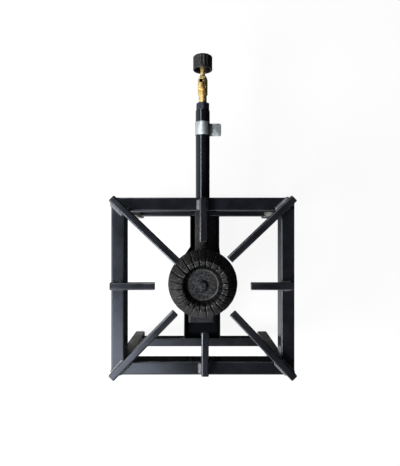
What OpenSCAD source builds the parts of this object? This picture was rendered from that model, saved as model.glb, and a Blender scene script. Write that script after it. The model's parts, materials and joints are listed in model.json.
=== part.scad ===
// Single-burner floor gas stove: a welded tube frame, eight pot bars, a cast burner and its gas line.
// The floor is Z = 0. Left and right are X, and the gas line runs out at the back along +Y.
// The origin lies on the floor, under the middle of the whole stove's box.

/* [Frame] */
// Outside width of the top frame, left to right
frame_w = 300; // [270:1:340]
// Outside depth of the top frame, front to back
frame_d = 290; // [270:1:330]
// Height of the pot bars' upper faces above the floor
stove_h = 200; // [194:1:230]
// Width of the top frame's tube
frame_tube_w = 22; // [20:0.5:26]
// Height of the top frame's tube
frame_tube_h = 30; // [24:0.5:31]
// Wall of the steel tubes
tube_wall = 1.5; // [1:0.1:2]
// Outside corner radius of the steel tubes
tube_corner = 2.5; // [2.1:0.1:3.5]
// Side of a leg's square tube
leg_tube = 20; // [17:0.5:22]
// Distance from the frame's outer faces to a leg
leg_inset = 3; // [0:0.5:4]
// How much further in from the sides the front legs stand: left, right
front_leg_in = [2, 8.5]; // [0:0.5:12]
// Width of a lower rail, front to back
rail_w = 17.5; // [12:0.5:19]
// Height of a lower rail
rail_h = 20; // [16:0.5:24]
// Height of the lower rails' underside above the floor
rail_z = 24; // [10:1:32]

/* [Pot bars] */
// Side of the solid square pot bars
bar_side = 12; // [10:0.5:14]
// Rounding of a pot bar's long edges
bar_round = 1.2; // [0.5:0.1:2.5]
// Distance from the middle to each corner bar's tip: back left, back right, front left, front right
corner_reach = [56.6, 61.4, 61.3, 64.4]; // [50:0.1:75]
// Sideways drift of each corner bar's tip, in the same order
corner_drift = [0.4, -0.2, 1.9, 3.9]; // [-6:0.1:6]
// Distance from the frame's sides to the corner bars' outer ends
heel_side_in = 3; // [1:0.5:8]
// Distance from the frame's back to the back corner bars' outer ends
heel_back_in = 2.5; // [0:0.5:8]
// Distance that the front corner bars' outer ends stand out past the frame's front
heel_front_out = 1.5; // [0:0.5:3]
// Distance from the middle to each straight bar's tip: left, right, front, back
side_reach = [78, 78, 73.3, 73.1]; // [70:0.1:90]
// Distance from the frame's outer face to each straight bar's outer end, in the same order
side_heel_in = [0.8, 5, 1.8, 2.5]; // [0:0.1:8]
// Sideways place of each straight bar, in the same order
side_drift = [1, 1, 3.6, 0.8]; // [-6:0.1:6]

/* [Burner carrier] */
// Thickness of the folded sheet
sheet_t = 2.5; // [1.5:0.1:3]
// Height of the carrier's walls
carrier_h = 20; // [14:0.5:24]
// Outward lean of the carrier's walls from floor to edge
carrier_flare = 5; // [0:0.5:7]
// Left edge of the carrier at the front rail
carrier_front_left = 38; // [36.5:0.5:44]
// Left edge of the carrier behind the seat
carrier_seat_left = 37; // [36.5:0.5:44]
// Right edge of the carrier at the front rail
carrier_front_right = 36; // [34:0.5:44]
// Left edge of the carrier at the back rail
carrier_back_left = 25.5; // [22:0.5:44]
// Right edge of the carrier at the back rail
carrier_back_right = 34; // [22:0.5:44]
// Width of the burner's seat
seat_w = 50; // [44:0.5:52]
// Sideways place of the seat's middle
seat_x = -2.4; // [-3:0.1:1]
// Distance from the burner's middle to the seat's front edge
seat_front = 89; // [70:1:100]
// Distance from the burner's middle to the seat's back edge
seat_back = 42; // [30:1:60]

/* [Burner] */
// Height of the gas line's axis above the floor, under the burner's middle
line_z = 105; // [95:1:120]
// Upward slope of the gas line towards the valve, in degrees
line_tilt = 4; // [0:0.5:6]
// Distance of the burner's middle behind the frame's middle
burner_y = 1; // [-5:0.5:8]
// Radius of the burner cap's rim
cap_r = 61; // [58:0.5:66]
// Height of the bowl's rim above the gas line's axis
rim_h = 35; // [30:0.5:38]
// Height of the cap from its rim to its crest
crest_h = 27; // [22:0.5:30]
// Outer radius of the crest
crest_outer_r = 44; // [41:0.5:47]
// Inner radius of the crest
crest_inner_r = 34.5; // [32:0.5:37]
// Radius of the disc in the middle of the cap
disc_r = 27.5; // [24:0.5:29]
// Depth of the disc below the crest
disc_drop = 9; // [6:0.5:11]
// Radius of the boss in the middle of the disc
boss_r = 8.5; // [5:0.5:12]
// Height of that boss
boss_h = 5; // [3:0.5:8]
// Number of flame slots round the cap
slots = 24; // [18:1:30]
// Width of a flame slot
slot_w = 1.8; // [1.2:0.1:2.4]
// Wall of the burner's castings
cast_wall = 5; // [4:0.5:6]
// Radius of the foot under the bowl
foot_r = 20; // [17:0.5:21]
// Depth of the foot's underside below the gas line's axis
foot_drop = 26; // [22:0.5:28]
// Outside diameter of the bowl's neck
neck_od = 28.4; // [28:0.1:32]
// Distance from the burner's middle to the neck's end
neck_end = 133; // [110:1:145]
// Diameter of the bolt that holds the burner
bolt_d = 10; // [8:0.5:12]

/* [Gas tube] */
// Outside diameter of the mixing tube
tube_od = 25.4; // [24:0.1:26]
// Wall of the mixing tube
mixing_wall = 1.5; // [1:0.1:2]
// Distance from the burner's middle to the mixing tube's outer end
tube_end = 308; // [290:1:330]
// Length of the tube that is held in the neck
tube_hold = 22; // [12:1:30]
// Diameter of the air hole in the mixing tube
air_hole_d = 12; // [8:0.5:13]
// Distance from the burner's middle to the air shutter's middle
shutter_y = 276; // [250:1:280]
// Width of the air shutter's band
shutter_w = 23; // [18:0.5:26]
// Sheet thickness of the air shutter
shutter_t = 1; // [0.6:0.1:1.5]
// Length of the shutter's finger tab past the band
tab_l = 20; // [12:0.5:26]
// Height of the finger tab's middle below the tube's axis
tab_drop = 6.2; // [4:0.1:8]
// Opening of the shutter's band, in degrees
shutter_gap = 70; // [50:1:80]

/* [Valve] */
// Width across the flats of the black adapter's hexagon
adapter_af = 22; // [20:0.5:24]
// Length of that hexagon
adapter_l = 13.5; // [10:0.5:18]
// Diameter of the brass neck next to the adapter
brass_neck_d = 14.4; // [13:0.1:16]
// Length of the brass neck
brass_neck_l = 15; // [10:0.5:18]
// Diameter of the valve body
body_d = 17.4; // [16.5:0.1:19]
// Length of the valve body
body_l = 27; // [25:0.5:32]
// Length of the gland nut that shows
gland_l = 6; // [5:0.5:8]
// Diameter of the valve spindle
spindle_d = 8.4; // [7.5:0.1:8.6]
// Length of the spindle between the gland nut and the knob
stem_gap = 10; // [6:0.5:15]
// Diameter of the hose tail's ribs
tail_d = 9.5; // [8.5:0.1:10.5]
// Diameter of the hose tail's bore
tail_bore = 5.5; // [4:0.1:6]
// Number of ribs on the hose tail
tail_ribs = 5; // [3:1:6]
// Lean of the hose tail towards the knob, in degrees
tail_lean = 15; // [0:1:20]
// Lean of the hose tail to the left, in degrees
tail_side = 6; // [0:1:10]
// Distance from the valve's axis to the hose tail's tip
tail_l = 31; // [27:0.5:36]
// Diameter of the knob
knob_d = 34.4; // [32:0.2:38]
// Length of the knob
knob_l = 23; // [20:0.5:26]
// Number of flutes round the knob
flutes = 16; // [12:1:20]
// Depth of a flute
flute_depth = 1; // [0.5:0.1:1.4]

/* [Hidden] */
$fn = 96;

// Clearances
running_gap = 0.05;
free_gap = 0.3;

// How far a cut runs past a face, and how deep two shapes of one piece run into each other
cut = 1;
joined = 0.1;

// Paint and metal colours
paint = [0.10, 0.11, 0.13];
bar_paint = [0.14, 0.15, 0.17];
iron = [0.17, 0.16, 0.15];
brass = [0.80, 0.62, 0.28];
zinc = [0.68, 0.73, 0.75];
steel = [0.60, 0.60, 0.62];
plastic = [0.09, 0.09, 0.10];
fibre = [0.85, 0.84, 0.78];

// Heights of the frame
frame_top = stove_h - bar_side;
frame_under = frame_top - frame_tube_h;

// Inner faces of the back legs, and outer faces of all legs, with which the rails are flush
leg_in_x = frame_w / 2 - leg_inset - leg_tube;
leg_out_y = frame_d / 2 - leg_inset;

// Inner faces of the rails, between which the carrier lies
rail_in_y = leg_out_y - rail_w;

// Plane on the carrier's floor that the seat stands on
carrier_z = rail_z;
carrier_floor = carrier_z + sheet_t;

// Stretch behind the seat in which the carrier narrows
waist_front = burner_y + seat_back + 2;
waist_back = waist_front + 17;

// Sizes of the burner above the gas line's axis
crest_w = rim_h + crest_h;
disc_w = crest_w - disc_drop;
rim_edge = 3.5;
bowl_r = cap_r - 1;
bolt_hole_r = bolt_d / 2 + running_gap;
bolt_in_foot = 9;
bolt_head_af = 1.7 * bolt_d;
bolt_head_h = 0.64 * bolt_d;
washer_t = 2;

// Bore of the mixing tube, and where the tube starts inside the neck
tube_r = tube_od / 2;
tube_bore_r = tube_r - mixing_wall;
tube_start = neck_end - tube_hold;

// Direction of the air hole, and the ends of the shutter's band, seen along +Y with X to the right
air_hole_angle = 225;
tab_angle = -asin(tab_drop / (tube_r + running_gap + shutter_t / 2));

// Stations along the gas line, from the burner's middle
adapter_end = tube_end + adapter_l;
body_start = adapter_end + brass_neck_l;
body_end = body_start + body_l;
gland_end = body_end + gland_l;
knob_start = gland_end + stem_gap;
knob_end = knob_start + knob_l;
tail_y = body_start + 6.5;

// Inside of the valve, where the gas comes in round the needle and leaves through its seat
outlet_r = 3;
thread_r = 5;
thread_l = 3;
adapter_bore_r = thread_r;
spigot_l = 12;
seat_y = body_start + 1;
seat_l = 3;
seat_hole_r = 1.6;
chamber_r = 3.4;
chamber_end = body_start + 12;
needle_r = 2.6;
gland_spigot_r = 6;
gland_spigot_l = 6;
packing_l = 4;
tail_stub = chamber_r + 1.2;
tail_stub_r = tail_bore / 2 + 1.25;
tail_boss_r = 6.2;
tail_boss_l = body_d / 2 + 3;
spindle_r = spindle_d / 2;
spindle_end = knob_end - 8;
screw_r = 2;
screw_l = 8;

// Knob
knob_r = knob_d / 2;
knob_wall = 3;
cup_depth = 14;
hub_r = 7.5;
hub_in = 6;
flute_r = 2.6;
knob_edge = 1.2;
flute_start = 3;
screw_recess = 3;
screw_head_r = 4;
screw_head_h = 2.2;

// Jet at the end of the adapter's spigot
jet_tip_l = 8;
jet_tip_r = 2.5;
jet_head_l = 5;
jet_head_r = 7;
jet_hole_r = 0.6;
jet_bore_r = 2.5;
jet_hold = 8;

// Middle of the stove's box along Y
bar_half_diag = bar_side / 2 * cos(45);
low_y = -(frame_d / 2 + heel_front_out + bar_half_diag);
high_y = burner_y + knob_end * cos(line_tilt) + knob_r * sin(line_tilt);
mid_y = (low_y + high_y) / 2;

// Moves what is drawn round the frame's middle to the stove's own origin.
module placed() {
    translate([0, -mid_y, 0])
        children();
}

// Puts a piece of the gas line in its place: its Y is the tube's axis and its Z is the burner's axis.
module on_gas_line() {
    placed()
        translate([0, burner_y, line_z])
            rotate([line_tilt, 0, 0])
                children();
}

// Turns a solid of revolution, drawn round Z, so that its axis is the gas line.
module round_line() {
    rotate([-90, 0, 0])
        children();
}

// Extrudes a section drawn in X and Z along +Y, from y = 0.
module along_y(length) {
    rotate([90, 0, 0])
        translate([0, 0, -length])
            linear_extrude(length)
                children();
}

// Extrudes a section drawn in Y and Z along +X, from x = 0.
module along_x(length) {
    rotate([90, 0, 90])
        linear_extrude(length)
            children();
}

// Rectangle with round corners, centred.
module round_rect(w, h, r) {
    square([w - 2 * r, h], center = true);
    square([w, h - 2 * r], center = true);
    for (sx = [-1, 1], sy = [-1, 1])
        translate([sx * (w / 2 - r), sy * (h / 2 - r)])
            circle(r);
}

// Section of a rectangular steel tube, centred.
module tube_section(w, h) {
    difference() {
        round_rect(w, h, tube_corner);
        round_rect(w - 2 * tube_wall, h - 2 * tube_wall, tube_corner - tube_wall);
    }
}

// One side of the top frame, mitred at both ends. It lies along X, with its outer face at y = 0.
module mitred_bar(length) {
    color(paint)
        intersection() {
            translate([-length / 2, frame_tube_w / 2, frame_top - frame_tube_h / 2])
                along_x(length)
                    tube_section(frame_tube_w, frame_tube_h);
            translate([0, 0, frame_under - cut])
                linear_extrude(frame_tube_h + 2 * cut)
                    polygon([
                        [-length / 2, 0],
                        [length / 2, 0],
                        [length / 2 - frame_tube_w, frame_tube_w],
                        [-length / 2 + frame_tube_w, frame_tube_w]
                    ]);
        }
}

module frame_front_bar() {
    placed()
        translate([0, -frame_d / 2, 0])
            mitred_bar(frame_w);
}

module frame_back_bar() {
    placed()
        translate([0, frame_d / 2, 0])
            rotate([0, 0, 180])
                mitred_bar(frame_w);
}

module frame_left_bar() {
    placed()
        translate([-frame_w / 2, 0, 0])
            rotate([0, 0, -90])
                mitred_bar(frame_d);
}

module frame_right_bar() {
    placed()
        translate([frame_w / 2, 0, 0])
            rotate([0, 0, 90])
                mitred_bar(frame_d);
}

// Distance from the middle to the inner face of a leg. The signs say which leg.
function leg_face(side_x, side_y) =
    side_y > 0 ? leg_in_x : leg_in_x - front_leg_in[side_x > 0 ? 1 : 0];

// A leg under a corner of the top frame. The signs say which corner.
module leg(side_x, side_y) {
    color(paint)
        placed()
            translate([
                side_x * (leg_face(side_x, side_y) + leg_tube / 2),
                side_y * (leg_out_y - leg_tube / 2),
                0
            ])
                linear_extrude(frame_under)
                    tube_section(leg_tube, leg_tube);
}

// A lower rail between two legs, flush with their outer faces.
module lower_rail(side_y) {
    left = leg_face(-1, side_y);
    right = leg_face(1, side_y);
    color(paint)
        placed()
            translate([-left, side_y * (leg_out_y - rail_w / 2), rail_z + rail_h / 2])
                along_x(left + right)
                    tube_section(rail_w, rail_h);
}

// A solid square bar that lies on the top frame and runs from its heel to its tip.
module pot_bar(heel, tip) {
    run = tip - heel;
    color(bar_paint)
        placed()
            translate([heel[0], heel[1], frame_top + bar_side / 2])
                rotate([0, 0, atan2(run[1], run[0])])
                    along_x(norm(run))
                        round_rect(bar_side, bar_side, bar_round);
}

// Corner bar number i, whose tip lies near the frame's diagonal.
module corner_bar(i, side_x, side_y) {
    heel_y = side_y > 0 ? frame_d / 2 - heel_back_in : frame_d / 2 + heel_front_out;
    along = corner_reach[i] * cos(45);
    aside = corner_drift[i] * cos(45);
    pot_bar(
        [side_x * (frame_w / 2 - heel_side_in), side_y * heel_y],
        [side_x * (along + aside), side_y * (along - aside)]
    );
}

module pot_bar_left() {
    pot_bar([-frame_w / 2 + side_heel_in[0], side_drift[0]], [-side_reach[0], side_drift[0]]);
}

module pot_bar_right() {
    pot_bar([frame_w / 2 - side_heel_in[1], side_drift[1]], [side_reach[1], side_drift[1]]);
}

module pot_bar_front() {
    pot_bar([side_drift[2], -frame_d / 2 + side_heel_in[2]], [side_drift[2], -side_reach[2]]);
}

module pot_bar_back() {
    pot_bar([side_drift[3], frame_d / 2 - side_heel_in[3]], [side_drift[3], side_reach[3]]);
}

// Section of the carrier at one place along Y: a sheet floor between two walls that lean out.
function carrier_ring(y, left, right) =
    let (foot_in = carrier_flare * (1 - sheet_t / carrier_h) + sheet_t)
    [
        for (p = [
            [-left + carrier_flare, 0],
            [-left, carrier_h],
            [-left + sheet_t, carrier_h],
            [-left + foot_in, sheet_t],
            [right - foot_in, sheet_t],
            [right - sheet_t, carrier_h],
            [right, carrier_h],
            [right - carrier_flare, 0]
        ])
            [p[0], y, carrier_z + p[1]]
    ];

// Folded channel between the two lower rails. It is wide under the seat and narrows behind it.
module burner_carrier() {
    rings = [
        carrier_ring(-rail_in_y, carrier_front_left, carrier_front_right),
        carrier_ring(waist_front, carrier_seat_left, carrier_front_right),
        carrier_ring(waist_back, carrier_back_left, carrier_back_right),
        carrier_ring(rail_in_y, carrier_back_left, carrier_back_right)
    ];
    sides = len(rings[0]);
    last = (len(rings) - 1) * sides;
    left_wall = [0, 1, 2, 3];
    right_wall = [4, 5, 6, 7];
    floor_sheet = [0, 3, 4, 7];
    color(paint)
        placed()
            polyhedron(
                points = [for (ring = rings) each ring],
                faces = [
                    for (part = [left_wall, floor_sheet, right_wall])
                        part,
                    for (part = [left_wall, floor_sheet, right_wall])
                        [for (i = [3 : -1 : 0]) last + part[i]],
                    for (k = [0 : len(rings) - 2])
                        for (i = [0 : sides - 1])
                            let (a = k * sides + i, b = k * sides + (i + 1) % sides)
                            [b, a, a + sides, b + sides]
                ]
            );
}

// Bent sheet saddle that stands in the carrier and carries the burner's foot.
module burner_seat() {
    seat_deep = 2 * line_z;
    color(paint)
        intersection() {
            on_gas_line()
                difference() {
                    translate([seat_x, -seat_front, -foot_drop - seat_deep / 2])
                        along_y(seat_front + seat_back)
                            difference() {
                                round_rect(seat_w, seat_deep, tube_corner + 1);
                                square([seat_w - 2 * sheet_t, seat_deep - 2 * sheet_t], center = true);
                            }
                    translate([0, 0, -foot_drop - sheet_t - cut])
                        cylinder(r = bolt_hole_r + free_gap, h = sheet_t + 2 * cut);
                }
            placed()
                translate([-frame_w / 2, -frame_d / 2, carrier_floor])
                    cube([frame_w, frame_d, line_z]);
        }
}

// Half outline of a bowl that swells from radius r0 at height z0 to radius r1 at height z1.
function belly(r0, z0, r1, z1) = [
    for (i = [0 : 8])
        let (t = 90 * i / 8)
        [r0 + (r1 - r0) * sin(t), z0 + (z1 - z0) * (1 - cos(t))]
];

// Cast bowl with its foot and the neck that takes the mixing tube.
module burner_bowl() {
    belly_z = -foot_drop + cast_wall;
    inner_z = belly_z + cast_wall;
    inner_r = bowl_r - cast_wall;
    color(iron)
        on_gas_line()
            difference() {
                union() {
                    rotate_extrude()
                        polygon(concat(
                            [[0, rim_h], [0, -foot_drop], [foot_r, -foot_drop]],
                            belly(foot_r, belly_z, bowl_r, rim_h - rim_edge),
                            [[bowl_r, rim_h]]
                        ));
                    round_line()
                        cylinder(r = neck_od / 2, h = neck_end);
                }
                rotate_extrude()
                    polygon(concat(
                        [[0, rim_h + cut], [0, inner_z]],
                        belly(foot_r - cast_wall, inner_z, inner_r, rim_h - rim_edge),
                        [[inner_r, rim_h + cut]]
                    ));
                round_line()
                    cylinder(r = tube_bore_r, h = neck_end + cut);
                translate([0, tube_start, 0])
                    round_line()
                        cylinder(r = tube_r + running_gap, h = tube_hold + cut);
                translate([0, 0, -foot_drop - cut])
                    cylinder(r = bolt_hole_r, h = bolt_in_foot - running_gap + cut);
            }
}

// Section of one flame slot, from the disc's edge over the crest to the rim.
module slot_section() {
    groove = 3;
    port_half = 2.4;
    port_r = (crest_inner_r + crest_outer_r) / 2;
    polygon([
        [disc_r + 0.7, crest_w + cut],
        [disc_r + 0.7, disc_w + 1],
        [crest_inner_r - 1, crest_w - 2 * groove],
        [port_r - port_half, crest_w - 2 * groove],
        [port_r - port_half, disc_w - cast_wall - cut],
        [port_r + port_half, disc_w - cast_wall - cut],
        [port_r + port_half, crest_w - 2 * groove],
        [crest_outer_r, crest_w - 2 * groove],
        [cap_r, rim_h + rim_edge - 1.6],
        [cap_r + cut, crest_w + cut]
    ]);
}

// Cast cap: a slotted crown round a sunken disc, with a lip that centres it in the bowl.
module burner_cap() {
    lip_r = bowl_r - cast_wall - free_gap;
    lip_t = 3;
    roof = disc_w - cast_wall;
    disc_edge = 1.5;
    crest_edge = 0.7;
    color(iron)
        on_gas_line()
            difference() {
                rotate_extrude()
                    polygon([
                        [0, disc_w + boss_h],
                        [0.6 * boss_r, disc_w + boss_h],
                        [boss_r, disc_w + 0.5 * boss_h],
                        [boss_r, disc_w],
                        [disc_r, disc_w],
                        [disc_r, disc_w + disc_edge],
                        [crest_inner_r, crest_w - crest_edge],
                        [crest_inner_r + crest_edge, crest_w],
                        [crest_outer_r - crest_edge, crest_w],
                        [crest_outer_r, crest_w - crest_edge],
                        [cap_r, rim_h + rim_edge],
                        [cap_r, rim_h],
                        [lip_r, rim_h],
                        [lip_r, rim_h - lip_t],
                        [lip_r - lip_t, rim_h - lip_t],
                        [lip_r - lip_t, rim_h + lip_t],
                        [crest_outer_r - lip_t, roof + cast_wall],
                        [crest_inner_r + lip_t, roof + cast_wall],
                        [disc_r, roof],
                        [0, roof]
                    ]);
                for (i = [0 : slots - 1])
                    rotate([0, 0, (i + 0.5) * 360 / slots])
                        rotate([90, 0, 0])
                            translate([0, 0, -slot_w / 2])
                                linear_extrude(slot_w)
                                    slot_section();
            }
}

// Bolt from below, through the seat into the burner's foot.
module burner_bolt() {
    under_seat = -foot_drop - sheet_t - washer_t;
    color(steel)
        on_gas_line() {
            translate([0, 0, under_seat - bolt_head_h])
                cylinder(r = bolt_head_af / 2 / cos(30), h = bolt_head_h, $fn = 6);
            translate([0, 0, under_seat - joined])
                cylinder(r = bolt_d / 2, h = washer_t + sheet_t + bolt_in_foot - 1);
        }
}

module burner_washer() {
    color(steel)
        on_gas_line()
            translate([0, 0, -foot_drop - sheet_t - washer_t])
                difference() {
                    cylinder(r = bolt_d, h = washer_t);
                    translate([0, 0, -cut])
                        cylinder(r = bolt_hole_r + free_gap, h = washer_t + 2 * cut);
                }
}

// Steel tube that carries the gas and air to the bowl, with its air hole under the shutter.
module mixing_tube() {
    color(paint)
        on_gas_line()
            difference() {
                translate([0, tube_start, 0])
                    round_line()
                        difference() {
                            cylinder(r = tube_r, h = tube_end - tube_start);
                            translate([0, 0, -cut])
                                cylinder(r = tube_bore_r, h = tube_end - tube_start + 2 * cut);
                        }
                translate([0, shutter_y, 0])
                    rotate([0, 90 - air_hole_angle, 0])
                        cylinder(r = air_hole_d / 2, h = tube_od);
            }
}

// Spring clip round the tube that covers the air hole, with a finger tab on the right.
module air_shutter() {
    band_in = tube_r + running_gap;
    band_out = band_in + shutter_t;
    gap_start = tab_angle - shutter_gap;
    tab_in = sqrt(band_in * band_in - (tab_drop - shutter_t / 2) * (tab_drop - shutter_t / 2)) + 0.2;
    tab_round = 3.5;
    color(zinc)
        on_gas_line()
            translate([0, shutter_y - shutter_w / 2, 0]) {
                along_y(shutter_w)
                    difference() {
                        circle(band_out);
                        circle(band_in);
                        polygon([
                            [0, 0],
                            for (i = [0 : 4])
                                let (a = gap_start + i * shutter_gap / 4)
                                2 * band_out * [cos(a), sin(a)]
                        ]);
                    }
                translate([0, 0, -tab_drop - shutter_t / 2])
                    linear_extrude(shutter_t)
                        tab_outline(tab_in, band_out + tab_l, tab_round);
            }
}

// Plan of the finger tab, square where it meets the band and round at its outer corners.
module tab_outline(x0, x1, r) {
    translate([x0, 0])
        square([x1 - r - x0, shutter_w]);
    translate([x1 - 2 * r, r])
        square([2 * r, shutter_w - 2 * r]);
    for (y = [r, shutter_w - r])
        translate([x1 - r, y])
            circle(r);
}

// Black hexagonal adapter, with a spigot in the tube and a bore for the jet and the valve.
module valve_adapter() {
    hex_turn = 22;
    edge = 1.2;
    color(paint)
        on_gas_line()
            difference() {
                union() {
                    translate([0, tube_end, 0])
                        intersection() {
                            rotate([0, -hex_turn, 0])
                                along_y(adapter_l)
                                    circle(r = adapter_af / 2 / cos(30), $fn = 6);
                            round_line()
                                rotate_extrude()
                                    polygon([
                                        [0, 0],
                                        [adapter_af / 2 + edge, 0],
                                        [adapter_af / 2 + edge, adapter_l - edge],
                                        [adapter_af / 2 - edge, adapter_l],
                                        [0, adapter_l]
                                    ]);
                        }
                    translate([0, tube_end - spigot_l, 0])
                        round_line()
                            cylinder(r = tube_bore_r - running_gap, h = spigot_l + cut);
                }
                translate([0, tube_end - spigot_l - cut, 0])
                    round_line()
                        cylinder(r = adapter_bore_r + running_gap, h = spigot_l + adapter_l + 2 * cut);
            }
}

// Brass jet that blows the gas past the air hole.
module gas_jet() {
    jet_start = tube_end - spigot_l - jet_head_l - jet_tip_l;
    color(brass)
        on_gas_line()
            translate([0, jet_start, 0])
                round_line()
                    difference() {
                        union() {
                            cylinder(r1 = jet_tip_r, r2 = 2 * jet_tip_r, h = jet_tip_l);
                            translate([0, 0, jet_tip_l])
                                cylinder(r = jet_head_r, h = jet_head_l, $fn = 6);
                            translate([0, 0, jet_tip_l + jet_head_l - joined])
                                cylinder(r = adapter_bore_r, h = jet_hold);
                        }
                        translate([0, 0, -cut])
                            cylinder(r = jet_hole_r, h = jet_tip_l);
                        translate([0, 0, jet_tip_l - cut])
                            cylinder(r = jet_bore_r, h = jet_head_l + jet_hold + 2 * cut);
                    }
}

// Puts a piece on the hose tail's own axis, which leans out of the valve body.
module on_tail() {
    translate([0, tail_y, 0])
        rotate([-tail_lean, -tail_side, 0])
            children();
}

// Brass valve body, with the needle's seat inside and a boss for the hose tail.
module valve_body() {
    body_r = body_d / 2;
    edge = 1.2;
    gland_hole = body_end - gland_spigot_l - packing_l;
    color(brass)
        on_gas_line()
            difference() {
                union() {
                    round_line()
                        rotate_extrude()
                            polygon([
                                [0, adapter_end - thread_l],
                                [thread_r, adapter_end - thread_l],
                                [thread_r, adapter_end],
                                [brass_neck_d / 2, adapter_end],
                                [brass_neck_d / 2, body_start - edge],
                                [body_r, body_start],
                                [body_r, body_end - edge],
                                [body_r - edge, body_end],
                                [0, body_end]
                            ]);
                    on_tail()
                        cylinder(r = tail_boss_r, h = tail_boss_l);
                }
                round_line()
                    rotate_extrude()
                        polygon([
                            [0, adapter_end - thread_l - cut],
                            [outlet_r, adapter_end - thread_l - cut],
                            [outlet_r, seat_y - seat_l],
                            [seat_hole_r, seat_y - seat_l],
                            [seat_hole_r, seat_y],
                            [chamber_r, seat_y + seat_l],
                            [chamber_r, chamber_end],
                            [spindle_r + running_gap, chamber_end],
                            [spindle_r + running_gap, gland_hole],
                            [gland_spigot_r + running_gap, gland_hole],
                            [gland_spigot_r + running_gap, body_end + cut],
                            [0, body_end + cut]
                        ]);
                on_tail()
                    cylinder(r = tail_bore / 2, h = tail_stub);
                on_tail()
                    translate([0, 0, tail_stub - running_gap])
                        cylinder(r = tail_stub_r + running_gap, h = tail_l);
            }
}

// Outline of the ribbed hose tail: its screw, its collar and its saw-tooth ribs with narrow lands.
function tail_points() =
    let (
        collar_r = tail_boss_r - 0.6,
        rib_z = tail_boss_l + 2,
        rib_step = (tail_l - rib_z) / tail_ribs,
        tail_r = tail_d / 2,
        root_r = tail_r - 0.9,
        rib_in = 0.4,
        land = 0.8
    )
    concat(
        [
            [tail_bore / 2, tail_stub],
            [tail_stub_r, tail_stub],
            [tail_stub_r, tail_boss_l],
            [collar_r, tail_boss_l],
            [collar_r, rib_z],
            [root_r, rib_z]
        ],
        [
            for (i = [0 : tail_ribs - 1])
                for (p = [
                    [root_r, rib_z + i * rib_step + rib_in],
                    [tail_r, rib_z + i * rib_step + rib_in],
                    [tail_r, rib_z + i * rib_step + rib_in + land],
                    [root_r, rib_z + (i + 1) * rib_step]
                ])
                    p
        ],
        [[tail_bore / 2, tail_l]]
    );

module hose_tail() {
    color(brass)
        on_gas_line()
            on_tail()
                rotate_extrude()
                    polygon(tail_points());
}

// Ring of packing that the gland nut presses round the spindle.
module gland_packing() {
    color(fibre)
        on_gas_line()
            translate([0, body_end - gland_spigot_l - packing_l, 0])
                round_line()
                    difference() {
                        cylinder(r = gland_spigot_r, h = packing_l);
                        translate([0, 0, -cut])
                            cylinder(r = spindle_r + running_gap, h = packing_l + 2 * cut);
                    }
}

// Gland nut: a screwed spigot, a hexagon and a cone round the spindle.
module gland_nut() {
    hex_l = 0.5 * gland_l;
    gland_cone_r = gland_spigot_r + 0.8;
    lip = 0.9;
    color(brass)
        on_gas_line()
            translate([0, body_end, 0])
                round_line()
                    difference() {
                        union() {
                            translate([0, 0, -gland_spigot_l])
                                cylinder(r = gland_spigot_r, h = gland_spigot_l + joined);
                            cylinder(r = body_d / 2 - lip, h = hex_l, $fn = 6);
                            translate([0, 0, hex_l - joined])
                                cylinder(r1 = gland_cone_r, r2 = spindle_r + lip, h = gland_l - hex_l + joined);
                        }
                        translate([0, 0, -gland_spigot_l - cut])
                            cylinder(r = spindle_r + running_gap, h = gland_spigot_l + gland_l + 2 * cut);
                    }
}

// Spindle with the needle on its inner end and a screw hole in its outer end.
module valve_spindle() {
    color(brass)
        on_gas_line()
            round_line()
                difference() {
                    union() {
                        translate([0, 0, seat_y + running_gap])
                            cylinder(r1 = seat_hole_r - running_gap, r2 = needle_r, h = seat_l);
                        translate([0, 0, seat_y + seat_l + running_gap / 2])
                            cylinder(r = needle_r, h = chamber_end - seat_y - seat_l + 1);
                        translate([0, 0, chamber_end + free_gap])
                            cylinder(r = spindle_r, h = spindle_end - chamber_end - free_gap);
                    }
                    translate([0, 0, spindle_end - screw_l - 1])
                        cylinder(r = screw_r + running_gap, h = screw_l + 1 + cut);
                }
}

// Fluted plastic knob: a cup that is open towards the valve, with a hub on the spindle.
module valve_knob() {
    color(plastic)
        on_gas_line()
            translate([0, knob_start, 0])
                round_line()
                    difference() {
                        rotate_extrude()
                            polygon([
                                [0, hub_in],
                                [hub_r, hub_in],
                                [hub_r, cup_depth],
                                [knob_r - knob_wall, cup_depth],
                                [knob_r - knob_wall, 0],
                                [knob_r - knob_edge, 0],
                                [knob_r, knob_edge],
                                [knob_r, knob_l - 2 * knob_edge],
                                [knob_r - 0.6 * knob_edge, knob_l - 0.6 * knob_edge],
                                [knob_r - 2 * knob_edge, knob_l],
                                [0, knob_l]
                            ]);
                        for (i = [0 : flutes - 1])
                            rotate([0, 0, i * 360 / flutes])
                                translate([knob_r - flute_depth + flute_r, 0, flute_start])
                                    cylinder(r = flute_r, h = knob_l);
                        translate([0, 0, hub_in - cut])
                            cylinder(r = spindle_r + running_gap, h = spindle_end - knob_start - hub_in + cut);
                        translate([0, 0, hub_in])
                            cylinder(r = screw_r + free_gap, h = knob_l);
                        translate([0, 0, knob_l - screw_recess])
                            cylinder(r = screw_head_r + free_gap, h = knob_l);
                    }
}

// Screw that holds the knob on the spindle.
module knob_screw() {
    head_z = knob_end - screw_recess;
    slot = 1;
    color(steel)
        on_gas_line()
            round_line()
                difference() {
                    union() {
                        translate([0, 0, head_z])
                            cylinder(r1 = screw_head_r, r2 = screw_head_r - 1, h = screw_head_h);
                        translate([0, 0, spindle_end - screw_l])
                            cylinder(r = screw_r, h = head_z - spindle_end + screw_l + joined);
                    }
                    translate([-screw_head_r, -slot / 2, head_z + screw_head_h - slot])
                        cube([2 * screw_head_r, slot, screw_head_h]);
                }
}

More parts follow.
